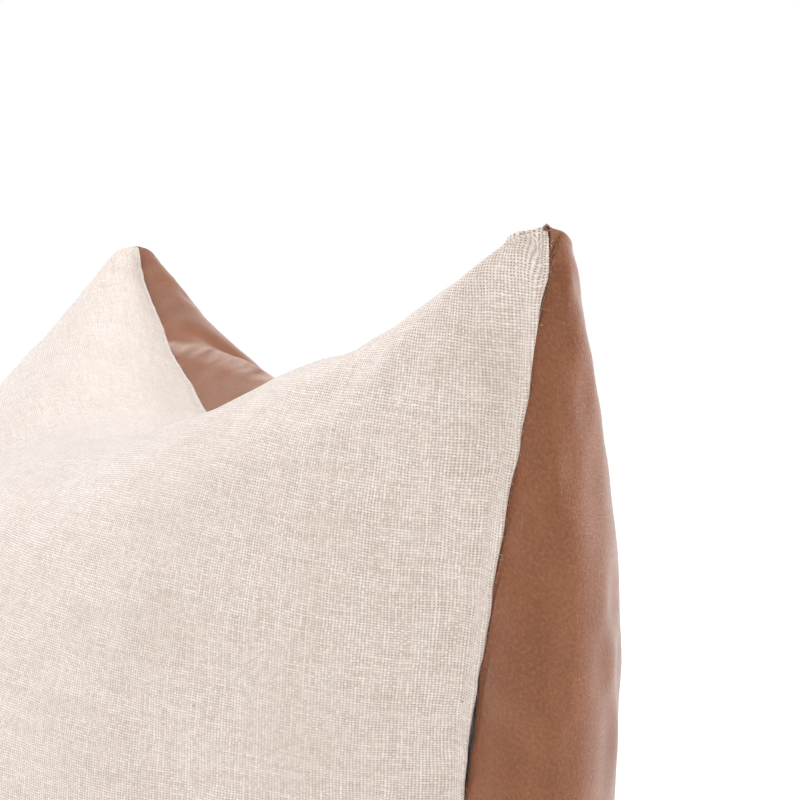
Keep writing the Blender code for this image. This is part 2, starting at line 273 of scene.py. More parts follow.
def laid_flat(side, cells):
    """The whole panel laid flat with as little stretch as its shape allows, in metres."""
    shape = skin(*grid(cells), side)
    size = cells + 1
    faces = grid_faces(size, size, flip=False)
    sheet = mesh_object("flat_sheet", shape.reshape(-1, 3), faces, None)
    sheet.data.uv_layers.new(name="laid")
    for other in bpy.context.selected_objects:
        other.select_set(False)
    bpy.context.view_layer.objects.active = sheet
    sheet.select_set(True)
    bpy.ops.object.mode_set(mode="EDIT")
    bpy.ops.mesh.select_all(action="SELECT")
    bpy.ops.uv.unwrap(method="MINIMUM_STRETCH", iterations=8, no_flip=True)
    bpy.ops.object.mode_set(mode="OBJECT")
    loops = len(sheet.data.loops)
    found = np.empty(loops * 2)
    sheet.data.uv_layers["laid"].data.foreach_get("uv", found)
    corners = np.empty(loops, dtype=np.int32)
    sheet.data.loops.foreach_get("vertex_index", corners)
    laid = np.empty((size * size, 2))
    laid[corners] = found.reshape(-1, 2)
    bpy.data.objects.remove(sheet, do_unlink=True)
    wanted = flat_pattern(shape).reshape(-1, 2)
    laid -= laid.mean(axis=0)
    left, sizes, right = np.linalg.svd(laid.T @ (wanted - wanted.mean(axis=0)))
    laid = laid @ left @ right * sizes.sum() / (laid ** 2).sum()
    return laid.reshape(size, size, 2)


def outward(points, side):
    """Unit normals of a grid of points, pointing out of the pillow."""
    across = np.gradient(points, axis=1)
    up = np.gradient(points, axis=0)
    normal = np.cross(across, up) * -side
    return normal / np.maximum(np.linalg.norm(normal, axis=-1, keepdims=True), 1e-12)


def seam_wander(u, v, places):
    """How far the seam strays from its plane: small waves, and a curl under the right ear."""
    across, up = places[..., 0], places[..., 1]
    near_side = np.exp(-np.abs(np.abs(u) - 1) * HALF_WIDTH / 0.012)
    near_top = np.exp(-np.abs(v - 1) * HALF_WIDTH / 0.012)
    along_side = 0.00010 * ripple(up, 0.022, 5) + 0.0006 * ripple(up, 0.095, 6)
    along_top = 0.00008 * ripple(across, 0.024, 7) + 0.0003 * ripple(across, 0.080, 8)
    wander = (near_side * along_side + near_top * along_top) * (1 - np.abs(u * v) ** 10)
    tip = np.hypot(u - 1, v - 1) * HALF_WIDTH
    curl = 0.0017 * bump_at(tip, 0.0105, 0.0065) - 0.0010 * bump_at(tip, 0.0, 0.0050)
    return wander + np.where((u > 0) & (v > 0), curl, 0.0)


# For each cover: how far ripples reach in from its seams, then height, wavelength and seed of the
# ripples along the sides, of those along the top, and of the wide and the small dents.
RELIEF = {
    FRONT: (
        0.008, (0.00018, 0.013, 21), (0.00010, 0.013, 22), (0.0006, 0.085, 23),
        (0.00016, 0.022, 24),
    ),
    BACK: (
        0.010, (0.00022, 0.016, 31), (0.00010, 0.018, 32), (0.0005, 0.11, 33),
        (0.00010, 0.020, 34),
    ),
}


def relief(u, v, places, points, side):
    """Small relief of a cover along its normal."""
    from_side, from_top = ((1 - np.abs(part)) * HALF_WIDTH for part in (u, v))
    reach, along_side, along_top, wide, small = RELIEF[side]
    total = along_side[0] * np.exp(-from_side / reach) * ripple(places[..., 1], *along_side[1:])
    total += along_top[0] * np.exp(-from_top / reach) * ripple(places[..., 0], *along_top[1:])
    for height, wavelength, seed in (wide, small):
        total += height * dents(places, wavelength, seed) * inside(u, v, 8)
    if side == FRONT:
        pressed = clipped((v - 0.55) / 0.35) ** 2 * positive(1 - v ** 20)
        return total - 0.0060 * bump_at(u, -0.14, 0.15) * pressed
    slack = 0.0010 * bump_at(u, 0.70, 0.35) * bump_at(v, -0.55, 0.35)
    total -= slack * clipped(from_side / 0.025)
    return total + far_folds(points) * clipped(from_top / 0.006) + ear_dimple(points)


def far_folds(points):
    """A gathered fold that runs back from the top seam by the left ear, with a hollow beside it."""
    x, y, z = points[..., 0], points[..., 1] - SEAM_Y, points[..., 2]
    across = x - (FOLD_X + FOLD_SLOPE * y)
    folds = sum(height * bump_at(across, place, width) for height, place, width in FOLD_WAVES)
    return folds * clipped((z - 0.385) / 0.025) * np.exp(-positive(y - 0.020) / 0.012)


def ear_dimple(points):
    """A pucker and a short crease where the leather gathers under the right ear."""
    x, y, z = points[..., 0], points[..., 1] - SEAM_Y, points[..., 2]
    pucker = -0.0011 * bump_at(np.hypot((y - 0.0025) / 1.6, z - 0.4605), 0.0, 0.0017)
    pucker += 0.0005 * bump_at(np.hypot((y - 0.0040) / 1.6, z - 0.4565), 0.0, 0.0020)
    crease = -0.0004 * bump_at(z, 0.4495 + 0.08 * y, 0.0007) * bump_at(y, 0.003, 0.006)
    return np.where(x > 0.15, pucker + crease, 0.0)


def eased_corners(points, u, v, passes):
    """Even out the steep little swelling at each corner, with the seam left where it is."""
    near = np.exp(-((1 - np.abs(u)) ** 2 + (1 - np.abs(v)) ** 2) / CORNER_EASE ** 2)
    near = near[1:-1, 1:-1, None]
    for _ in range(passes):
        middle = (points[:-2, 1:-1] + points[2:, 1:-1] + points[1:-1, :-2] + points[1:-1, 2:]) / 4
        points[1:-1, 1:-1] += 0.8 * near * (middle - points[1:-1, 1:-1])
    return points


def ear_plump(u, v, side):
    """How the folded allowances and the filling round out each corner on both sides of its seam."""
    u, v = (np.abs(part) for part in turned_corner(u, v))
    edge = 1 - CORNER_ROUNDING
    inward = CORNER_ROUNDING - np.hypot(positive(u - edge), positive(v - edge))
    inward = clipped(inward / CORNER_ROUNDING)
    from_tip = np.hypot(1 - u, 1 - v) * HALF_WIDTH
    return EAR_PLUMP[side] * np.sqrt(1 - (1 - inward) ** 2) * np.exp(-(from_tip / EAR_REACH) ** 2)


# ---- mesh helpers ----
def in_scene(name, data):
    """A new object with this data, in the scene."""
    made = bpy.data.objects.new(name, data)
    bpy.context.scene.collection.objects.link(made)
    return made


def mesh_object(name, points, faces, surface, uv=None):
    mesh = bpy.data.meshes.new(name)
    mesh.from_pydata(points.tolist(), [], [[int(i) for i in face] for face in faces])
    if surface is not None:
        mesh.materials.append(surface)
    if uv is not None:
        layer = mesh.uv_layers.new(name="flat_cut")
        corners = np.empty(len(mesh.loops), dtype=np.int32)
        mesh.loops.foreach_get("vertex_index", corners)
        layer.data.foreach_set("uv", uv[corners].astype(np.float32).ravel())
    mesh.shade_smooth()
    return in_scene(name, mesh)


def evaluated(thing):
    return thing.evaluated_get(bpy.context.evaluated_depsgraph_get())


def baked(thing, name):
    """A plain mesh object of what the modifiers of a thing make, which then goes away."""
    mesh = bpy.data.meshes.new_from_object(evaluated(thing))
    mesh.name = name
    bpy.data.objects.remove(thing, do_unlink=True)
    return in_scene(name, mesh)


def thickened(thing, thickness):
    """The same piece with its back side and edges, as cut fabric has."""
    name = thing.name
    wall = thing.modifiers.new("fabric", "SOLIDIFY")
    wall.thickness = thickness
    wall.offset = -1.0
    thing.name = name + "_surface"
    return baked(thing, name)


def grid_faces(rows, columns, flip):
    """Quads over a grid of points stored row by row."""
    start = (np.arange(rows - 1)[:, None] * columns + np.arange(columns - 1)[None]).ravel()
    quads = np.stack([start, start + 1, start + columns + 1, start + columns], axis=1)
    return quads[:, ::-1] if flip else quads


def rim(rows, columns):
    """Indices of a grid's outer ring of points, once round from the lower left corner."""
    index = np.arange(rows * columns).reshape(rows, columns)
    return np.concatenate([index[0], index[1:, -1], index[-1, -2::-1], index[-2:0:-1, 0]])


def sewn_together(front, back):
    """Front and back grids joined round their rim: points, faces and where each back point went."""
    size = len(front)
    ring = rim(size, size)
    inner = np.setdiff1d(np.arange(size * size), ring)
    back_index = np.arange(size * size)
    back_index[inner] = size * size + np.arange(len(inner))
    points = np.concatenate([front.reshape(-1, 3), back.reshape(-1, 3)[inner]])
    faces = [tuple(face) for face in grid_faces(size, size, flip=False)]
    faces += [tuple(back_index[list(face)]) for face in grid_faces(size, size, flip=True)]
    return points, faces, back_index


def away_from_ring(ring, span=3):
    """Unit vectors that point out of a closed ring of flat points."""
    along = np.roll(ring, -span, axis=0) - np.roll(ring, span, axis=0)
    along /= np.maximum(np.linalg.norm(along, axis=1, keepdims=True), 1e-12)
    return np.stack([along[:, 1], -along[:, 0]], axis=1)


# ---- cloth ----
def finer(field, cells):
    """A field on the coarse grid, carried to the fine one by smooth interpolation."""
    coarse = len(field) - 1
    at = np.arange(cells + 1) / cells * coarse
    first = np.clip(np.floor(at).astype(int), 0, coarse - 1)
    t = at - first
    weights = np.zeros((cells + 1, coarse + 1))
    shares = (
        (-t + 2 * t ** 2 - t ** 3) / 2,
        (2 - 5 * t ** 2 + 3 * t ** 3) / 2,
        (t + 4 * t ** 2 - 3 * t ** 3) / 2,
        (-t ** 2 + t ** 3) / 2,
    )
    for offset, share in enumerate(shares, start=-1):
        np.add.at(weights, (np.arange(cells + 1), np.clip(first + offset, 0, coarse)), share)
    return np.einsum("ai,bj,ijk->abk", weights, weights, field)


def folds_only(motion):
    """Leave out the swelling and the welts along the seams, and cap what is left."""
    size = len(motion)
    gap = np.arange(size)[:, None] - np.arange(size)[None]
    blur = np.exp(-(gap / FOLD_SPAN) ** 2)
    blur /= blur.sum(axis=1, keepdims=True)
    folds = motion - np.einsum("ai,bj,ijk->abk", blur, blur, motion)
    from_edge = np.minimum(np.arange(size), np.arange(size)[::-1])
    along_seam = np.exp(-(gap / (3 * FOLD_SPAN)) ** 2)
    along_seam /= along_seam.sum(axis=1, keepdims=True)
    welt = np.exp(-(from_edge / FOLD_SPAN) ** 2)[None, :, None]
    folds = folds - welt * np.einsum("ai,ijk->ajk", along_seam, folds)
    welt = welt.transpose(1, 0, 2)
    folds = folds - welt * np.einsum("bj,ijk->ibk", along_seam, folds)
    edge = clipped(from_edge / 3)
    folds *= (edge[:, None] * edge[None])[..., None]
    length = np.linalg.norm(folds, axis=-1, keepdims=True)
    return folds * MOTION_CAP * np.tanh(length / MOTION_CAP) / np.maximum(length, 1e-9)


def settled():
    """Run Cloth on both covers, sewn together with a little spare fabric: how they move."""
    u, v = grid(SIM_CELLS)
    size = SIM_CELLS + 1
    start, faces, back_index = sewn_together(skin(u, v, FRONT), skin(u, v, BACK))
    ring = rim(size, size)
    cover = mesh_object("settling_cover", start, faces, None)
    held = cover.vertex_groups.new(name="sewn")
    for still in (ring, np.flatnonzero(start[:, 2] < 0.004)):
        held.add([int(i) for i in still], 1.0, "REPLACE")
    cloth = cover.modifiers.new("cloth", "CLOTH")
    for label, value in CLOTH_SETTINGS.items():
        setattr(cloth.settings, label, value)
    cloth.settings.effector_weights.gravity = 0.0
    cloth.collision_settings.use_collision = False
    cloth.point_cache.frame_start = 1
    cloth.point_cache.frame_end = SIM_FRAMES
    for number in range(1, SIM_FRAMES + 1):
        bpy.context.scene.frame_set(number)
    result = evaluated(cover).data
    moved = np.empty(len(result.vertices) * 3, dtype=np.float32)
    result.vertices.foreach_get("co", moved)
    motion = moved.reshape(-1, 3).astype(float) - start
    bpy.data.objects.remove(cover, do_unlink=True)
    bpy.context.scene.frame_set(1)
    halves = {FRONT: motion[:size * size], BACK: motion[back_index]}
    return {side: folds_only(half.reshape(size, size, 3)) for side, half in halves.items()}


# ---- covers ----
# How each cover's edge turns in: (outwards from the seam, towards the seam's plane), in metres.
TURNED_EDGE = {
    FRONT: (
        (0.0003, 0.0002), (EDGE_FOLD, 0.0006), (EDGE_FOLD, 0.0011), (0.0002, 0.0014),
        (-ALLOWANCE, 0.0014),
    ),
    BACK: ((0.0001, 0.0003), (-ALLOWANCE, 0.0003)),
}
EDGE_STAND = {FRONT: 0.00155, BACK: 0.0002}     # how far each edge stands off the seam's plane


def cover_points(side, cells, motion):
    """Outside of one cover and its flat pattern, settled, with its wander, folds and dents."""
    u, v = grid(cells)
    points = skin(u, v, side)
    places = laid_flat(side, cells)
    points[..., 1] += side * EDGE_STAND[side] + seam_wander(u, v, places)
    points += finer(motion, cells)
    points = eased_corners(points, u, v, EASING_PASSES[side])
    points[..., 1] += side * ear_plump(u, v, side)
    points[..., 2] -= positive(points[..., 2] - TIP_START) * TIP_SETTLE
    normal = outward(points, side)
    raised = relief(u, v, places, points, side) * (1 - np.abs(u * v) ** 14)
    raised *= clipped(points[..., 2] / 0.02)
    points += normal * raised[..., None]
    points[..., 2] = positive(points[..., 2])
    return points, places


def cover(name, side, points, places, surface):
    """One cover as a sewer makes it: a panel whose edges turn in along the seam."""
    size = PANEL_CELLS + 1
    ring = rim(size, size)
    edge = points.reshape(-1, 3)[ring]
    flat_edge = places.reshape(-1, 2)[ring]
    out = away_from_ring(edge[:, [0, 2]])
    flat_out = away_from_ring(flat_edge)
    vertices = [points.reshape(-1, 3)]
    uvs = [places.reshape(-1, 2)]
    faces = [tuple(face) for face in grid_faces(size, size, flip=side == BACK)]
    last = ring
    travelled = 0.0
    before = (0.0, 0.0)
    u, v = (part.ravel()[ring] for part in grid(PANEL_CELLS))
    tuck = 1 - 0.8 * np.abs(u * v) ** 20
    for step in TURNED_EDGE[side]:
        travelled += math.dist(step, before)
        before = step
        turned = edge.copy()
        turned[:, 0] += out[:, 0] * step[0] * tuck
        turned[:, 2] = np.maximum(turned[:, 2] + out[:, 1] * step[0] * tuck, 0.0)
        turned[:, 1] -= side * step[1]
        added = sum(len(part) for part in vertices) + np.arange(len(ring))
        vertices.append(turned)
        uvs.append(flat_edge + flat_out * travelled)
        quads = np.stack([last, np.roll(last, -1), np.roll(added, -1), added], axis=1)
        faces += [tuple(face) for face in (quads[:, ::-1] if side == FRONT else quads)]
        last = added
    made = mesh_object(name, np.concatenate(vertices), faces, surface, np.concatenate(uvs))
    return thickened(made, FABRIC[side])


# ---- insert ----
def drawn_back(points, u, v):
    """The insert never quite reaches into the ears of the cover, nor right up to its side seams."""
    near = np.exp(-((1 - np.abs(u)) ** 2 + (1 - v) ** 2) / 0.15 ** 2)
    points[..., 0] -= np.sign(u) * (0.005 * near + 0.0020 * np.abs(u) ** 8)
    points[..., 1] += (SEAM_Y - points[..., 1]) * 0.45 * near
    points[..., 2] -= 0.006 * near
    return points


def pressed_in(points, side):
    """How far the hollows of the leather push the layers below them inwards."""
    return np.minimum(far_folds(points), 0.0) * (side == BACK)


def insert_shell(name, side, motion, surface):
    """One half of the inner cushion, in down-proof ticking with small puckers."""
    u, v = grid(INNER_CELLS)
    points = drawn_back(skin(u, v, side, INSERT_DEPTH, INSERT_FLOOR), u, v)
    places = flat_pattern(points)
    soft = 0.0005 * dents(places, 0.05, 51 + side) * inside(u, v, 10) + pressed_in(points, side)
    points += outward(points, side) * soft[..., None] + finer(motion, INNER_CELLS)
    faces = grid_faces(INNER_CELLS + 1, INNER_CELLS + 1, flip=side == BACK)
    made = mesh_object(name, points.reshape(-1, 3), faces, surface, places.reshape(-1, 2))
    return thickened(made, TICKING)


def outside_sheet(name, points):
    """The outside of the linen above its base as a plain sheet, for fibres to grow on."""
    size = PANEL_CELLS + 1
    points = points.reshape(-1, 3)
    faces = grid_faces(size, size, flip=False)
    faces = faces[points[faces][:, :, 2].min(axis=1) > NAP_FLOOR]
    return mesh_object(name, points, faces, None)


def edge_strip(name, points):
    """A narrow strip round the outermost fold of the linen's edge, for its loose fibres."""
    size = PANEL_CELLS + 1
    edge = points.reshape(-1, 3)[rim(size, size)]
    out = away_from_ring(edge[:, [0, 2]]) * EDGE_FOLD
    rows = []
    for drop in (0.0005, 0.0015):
        rows.append(edge + np.stack([out[:, 0], np.full(len(edge), drop), out[:, 1]], axis=1))
    first = np.arange(len(edge))
    following = np.roll(first, -1)
    faces = np.stack([first + len(edge), following + len(edge), following, first], axis=1)
    strip = np.concatenate(rows)
    faces = faces[strip[faces][:, :, 2].min(axis=1) > NAP_FLOOR]
    return mesh_object(name, strip, faces, None)


def feather_fill(name, motion, surface):
    """The filling as one lumpy closed body."""
    u, v = grid(INNER_CELLS)
    floor = INSERT_FLOOR + FILL_DEPTH - INSERT_DEPTH
    halves = []
    for side in (FRONT, BACK):
        points = drawn_back(skin(u, v, side, FILL_DEPTH, floor), u, v)
        lumps = -0.0016 * (1 + dents(flat_pattern(points), 0.035, 61 + side)) / 2
        lumps = lumps * inside(u, v, 12) + pressed_in(points, side)
        points += outward(points, side) * lumps[..., None]
        halves.append(points + finer(motion[side], INNER_CELLS))
    points, faces, _ = sewn_together(*halves)
    return mesh_object(name, points, faces, surface)


# ---- node trees ----
class Tree:
    """Short calls for wiring a node tree."""

    def add(self, kind, **settings):
        made = self.tree.nodes.new(kind)
        for key, value in settings.items():
            setattr(made, key, value)
        return made

    def put(self, socket, value):
        if isinstance(value, bpy.types.NodeSocket):
            self.tree.links.new(value, socket)
        else:
            socket.default_value = value

    def math(self, operation, *values):
        made = self.add("ShaderNodeMath", operation=operation)
        for socket, value in zip(made.inputs, values):
            self.put(socket, value)
        return made.outputs[0]

    def times(self, value, factor):
        return self.math("MULTIPLY", value, factor)

    def scaled(self, value, factor, addend):
        return self.math("MULTIPLY_ADD", value, factor, addend)

    def plus(self, value, other):
        return self.math("ADD", value, other)

    def minus(self, value, other):
        return self.math("SUBTRACT", value, other)

    def vector(self, x, y, z=0.0):
        made = self.add("ShaderNodeCombineXYZ")
        for socket, value in zip(made.inputs, (x, y, z)):
            self.put(socket, value)
        return made.outputs[0]


class Growth(Tree):
    """A geometry node tree that takes a mesh and named sizes."""

    def __init__(self, name, sizes):
        self.tree = bpy.data.node_groups.new(name, "GeometryNodeTree")
        face = self.tree.interface
        face.new_socket("Base", in_out="INPUT", socket_type="NodeSocketGeometry")
        for label, kind in sizes.items():
            face.new_socket(label, in_out="INPUT", socket_type="NodeSocket" + kind)
        face.new_socket("Result", in_out="OUTPUT", socket_type="NodeSocketGeometry")
        self.given = self.add("NodeGroupInput").outputs

    def step(self, kind, inputs, **settings):
        made = self.add("GeometryNode" + kind, **settings)
        for label, value in inputs.items():
            self.put(made.inputs[label], value)
        return made.outputs

    def along(self, pitch):
        """Points at this pitch along the lines of the base."""
        curve = self.step("MeshToCurve", {"Mesh": self.given["Base"]})[0]
        return self.step("CurveToPoints", {"Curve": curve, "Length": pitch}, mode="LENGTH")

    def between(self, low, high, seed, kind="FLOAT"):
        """A random value for each element, from a fixed seed."""
        made = self.add("FunctionNodeRandomValue", data_type=kind)
        inputs = {socket.identifier: socket for socket in made.inputs if socket.enabled}
        names = {"FLOAT": ("Min_001", "Max_001"), "FLOAT_VECTOR": ("Min", "Max")}[kind]
        inputs[names[0]].default_value = low
        inputs[names[1]].default_value = high
        self.put(inputs["Seed"], seed)
        return next(socket for socket in made.outputs if socket.enabled)

    def finish(self, points, instance, rotation, material, scale=(1, 1, 1)):
        """Put the instance on the points, as real and smooth geometry in its material."""
        placed = self.step("InstanceOnPoints", {
            "Points": points, "Instance": instance, "Rotation": rotation, "Scale": scale,
        })[0]
        real = self.step("RealizeInstances", {"Geometry": placed})[0]
        smooth = self.step("SetShadeSmooth", {"Geometry": real})[0]
        finished = self.step("SetMaterial", {"Geometry": smooth, "Material": material})[0]
        self.put(self.add("NodeGroupOutput").inputs[0], finished)
        return self.tree


def grown(name, base, tree, **values):
    """Run a tree on a base mesh and keep only the plain mesh that it makes."""
    way = base.modifiers.new("growth", "NODES")
    way.node_group = tree
    for item in tree.interface.items_tree:
        label = item.name.lower().replace(" ", "_")
        if item.in_out == "INPUT" and label in values:
            way[item.identifier] = values[label]
    return baked(base, name)


def stitch_tree():
    """Thread stitches laid end to end along a line, dipping into the cloth between them."""
    grow = Growth("stitches", {
        "Stitch pitch": "Float", "Stitch length": "Float", "Thread radius": "Float",
        "Seed": "Int", "Thread": "Material",
    })
    given = grow.given
    points = grow.along(given["Stitch pitch"])
    ball = grow.step("MeshUVSphere", {"Segments": 8, "Rings": 6, "Radius": 1.0})[0]
    half = grow.times(given["Stitch length"], 0.5)
    size = grow.vector(given["Thread radius"], given["Thread radius"], half)
    stitch = grow.step("Transform", {"Geometry": ball, "Scale": size})[0]
    uneven = grow.between((0.92, 0.92, 0.90), (1.08, 1.08, 1.04), given["Seed"], "FLOAT_VECTOR")
    return grow.finish(points["Points"], stitch, points["Rotation"], given["Thread"], uneven)


def fibre_tree():
    """Loose fibres that stand out of a cloth surface, each bent its own way."""
    grow = Growth("loose_fibres", {
        "Fibres per area": "Float", "Fibre length": "Float", "Seed": "Int", "Fibre": "Material",
    })
    given = grow.given
    spread = grow.step("DistributePointsOnFaces", {
        "Mesh": given["Base"], "Density": given["Fibres per area"], "Seed": given["Seed"],
    }, distribute_method="RANDOM")
    bend = grow.step("CurveQuadraticBezier", {
        "Resolution": 3, "Start": (0, 0, -0.05), "Middle": (0, 0, 0.55), "End": (0.55, 0.12, 0.70),
    })[0]
    section = grow.step("CurvePrimitiveCircle", {"Resolution": 3, "Radius": 0.014})[0]
    fibre = grow.step("CurveToMesh", {
        "Curve": bend, "Profile Curve": section, "Fill Caps": True,
    })[0]
    turn = grow.add("FunctionNodeRotateRotation", rotation_space="LOCAL")
    grow.put(turn.inputs[0], spread["Rotation"])
    angle = grow.between((-1.15, -1.15, -3.14), (1.15, 1.15, 3.14), given["Seed"], "FLOAT_VECTOR")
    grow.put(turn.inputs[1], angle)
    scale = grow.times(given["Fibre length"], grow.between(0.25, 1.0, given["Seed"]))
    return grow.finish(spread["Points"], fibre, turn.outputs[0], given["Fibre"], scale)


def teeth_tree():
    """A zip's coil: one bent loop of monofilament for each tooth along a line."""
    grow = Growth("coil_teeth", {
        "Tooth pitch": "Float", "Tooth width": "Float", "Tooth height": "Float",
        "Wire radius": "Float", "Coil": "Material",
    })
    given = grow.given
    points = grow.along(given["Tooth pitch"])
    loop = grow.step("CurvePrimitiveCircle", {"Resolution": 12, "Radius": 0.5})[0]
    size = grow.vector(given["Tooth height"], given["Tooth width"], 1.0)
    squashed = grow.step("Transform", {"Geometry": loop, "Scale": size})[0]
    wire = grow.step("CurvePrimitiveCircle", {"Resolution": 6, "Radius": given["Wire radius"]})[0]
    tooth = grow.step("CurveToMesh", {"Curve": squashed, "Profile Curve": wire})[0]
    return grow.finish(points["Points"], tooth, points["Rotation"], given["Coil"])


def line_object(name, runs):
    """Open lines of points, one for each run, as the base that a tree follows."""
    vertices = []
    edges = []
    for run in runs:
        first = len(vertices)
        vertices += [tuple(point) for point in run]
        edges += [(first + i, first + i + 1) for i in range(len(run) - 1)]
    mesh = bpy.data.meshes.new(name)
    mesh.from_pydata(vertices, edges, [])
    return in_scene(name, mesh)


def moved_in(line, inset):
    """A line along a seam, moved inwards from it by this much."""
    line = line.copy()
    along = np.gradient(line[:, [0, 2]], axis=0)
    along /= np.linalg.norm(along, axis=1, keepdims=True)
    line[:, 0] -= along[:, 1] * inset
    line[:, 2] += along[:, 0] * inset
    return line


def cover_runs(points):
    """Routes of the cover's seam, just inside the edge that both panels share."""
    sewn = np.abs(grid_steps(PANEL_CELLS)) < SEWN_SHARE
    runs = []
    for edge in (points[:, -1][sewn], points[-1][sewn][::-1], points[:, 0][sewn][::-1]):
        line = moved_in(edge, COVER_STITCH_INSET)
        line[:, 1] += EDGE_STAND[FRONT]
        runs.append(line)
    return runs


def seam_runs(depth, floor, inset):
    """Routes up the right side, across the notch and down the left side, inset from the seam."""
    steps = np.linspace(-SEWN_SHARE, SEWN_SHARE, 120)
    ones = np.ones_like(steps)
    runs = []
    for u, v in ((ones, steps), (steps[::-1], ones), (-ones, steps[::-1])):
        line = moved_in(drawn_back(skin(u, v, BACK, depth, floor, bulk=0.0), u, v), inset)
        line[:, 1] = SEAM_Y - SEAM_SWAY * u ** 4 * (1 - v * v)
        runs.append(line)
    return runs


def stitches(name, runs, tree, thread, radius, seed):
    base = line_object(name + "_route", runs)
    return grown(
        name, base, tree, stitch_pitch=STITCH_PITCH, stitch_length=STITCH_LENGTH,
        thread_radius=radius, seed=seed, thread=thread,
    )


def zip_teeth(name, node, tree, surface):
    """Teeth of one half of the chain, inside the box of its coil."""
    low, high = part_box(node)
    middle = [(a + b) / 2 for a, b in zip(low, high)]
    ends = [(low[0] + ZIP_WIRE, *middle[1:]), (high[0] - ZIP_WIRE, *middle[1:])]
    return grown(
        name, line_object(name + "_route", [ends]), tree, tooth_pitch=TOOTH_PITCH,
        tooth_width=high[1] - low[1] - 2 * ZIP_WIRE, tooth_height=high[2] - low[2] - 2 * ZIP_WIRE,
        wire_radius=ZIP_WIRE, coil=surface,
    )


# ---- materials ----
class Nodes(Tree):
    """A material's node tree."""

    def __init__(self, name):
        self.material = bpy.data.materials.new(name)
        self.material.use_nodes = True
        self.tree = self.material.node_tree
        self.shader = self.tree.nodes["Principled BSDF"]

    def mix(self, factor, first, second):
        made = self.add("ShaderNodeMix", data_type="RGBA", blend_type="MIX")
        self.put(made.inputs[0], factor)
        self.put(made.inputs[6], first)
        self.put(made.inputs[7], second)
        return made.outputs[2]

    def tint(self, color, other, value, low, high, amount=1.0):
        """Mix another colour in where a value goes from low to high."""
        return self.mix(self.times(self.ramp(value, low, high), amount), color, other)

    def ribs(self, value, pitch):
        return self.math("SINE", self.times(value, 2 * math.pi / pitch))

    def noise(self, vector, scale, detail=2.0, roughness=0.5):
        made = self.add("ShaderNodeTexNoise")
        self.put(made.inputs["Vector"], vector)
        made.inputs["Scale"].default_value = scale
        made.inputs["Detail"].default_value = detail
        made.inputs["Roughness"].default_value = roughness
        return made.outputs[0]

    def cracks(self, vector, scale, width):
        """Thin lines between the cells of a surface: 0 on a line, 1 away from it."""
        made = self.add("ShaderNodeTexVoronoi", feature="DISTANCE_TO_EDGE")
        self.put(made.inputs["Vector"], vector)
        made.inputs["Scale"].default_value = scale
        return self.ramp(made.outputs["Distance"], 0.0, width)

    def ramp(self, value, low, high):
        made = self.add("ShaderNodeMapRange")
        self.put(made.inputs["Value"], value)
        made.inputs["From Min"].default_value = low
        self.put(made.inputs["From Max"], high)
        return made.outputs[0]

    def split(self, vector):
        made = self.add("ShaderNodeSeparateXYZ")
        self.put(made.inputs[0], vector)
        return made.outputs

    def flat_cut(self):
        """Places on the flat cut of the fabric, in metres: the vector, across and up."""
        place = self.add("ShaderNodeUVMap", uv_map="flat_cut").outputs[0]
        parts = self.split(place)
        return place, parts[0], parts[1]

    def own_place(self):
        return self.add("ShaderNodeTexCoord").outputs["Object"]

    def bump(self, height, distance, strength=1.0):
        made = self.add("ShaderNodeBump")
        made.inputs["Distance"].default_value = distance
        made.inputs["Strength"].default_value = strength
        self.put(made.inputs["Height"], height)
        return made.outputs[0]

    def white(self, value):
        made = self.add("ShaderNodeTexWhiteNoise", noise_dimensions="1D")
        self.put(made.inputs["W"], value)
        return made.outputs[0]

    def finish(self, color, roughness, normal, **constants):
        """Link the finish to the shader; values that are the same everywhere are set on it."""
        self.put(self.shader.inputs["Base Color"], color)
        self.put(self.shader.inputs["Roughness"], roughness)
        self.put(self.shader.inputs["Normal"], normal)
        for label, value in constants.items():
            self.shader.inputs[label.replace("_", " ")].default_value = value
        return self.material


def yarns(n, across, along, seed):
    """One set of parallel yarns: its rounding, its over-and-under wave and its tone."""
    index = n.math("ROUND", across)
    offset = n.minus(across, index)
    slub = n.noise(n.vector(n.times(index, 3.7), n.times(along, 0.15), seed), 1.0)
    own = n.white(n.plus(index, seed))
    width = n.scaled(slub, 0.20, 0.26)
    width = n.scaled(own, 0.10, width)
    spread = n.math("DIVIDE", offset, width)
    left = n.minus(1.0, n.math("POWER", spread, 2.0))
    rounding = n.math("SQRT", n.math("MAXIMUM", left, 0.0))
    wave = n.math("COSINE", n.times(n.plus(along, index), math.pi))
    drift = n.noise(n.vector(n.times(index, 5.3), n.times(along, 0.045), seed), 1.0, 1.0)
    tone = n.plus(n.times(own, 0.30), n.times(n.ramp(drift, 0.30, 0.70), 0.70))
    return rounding, wave, tone


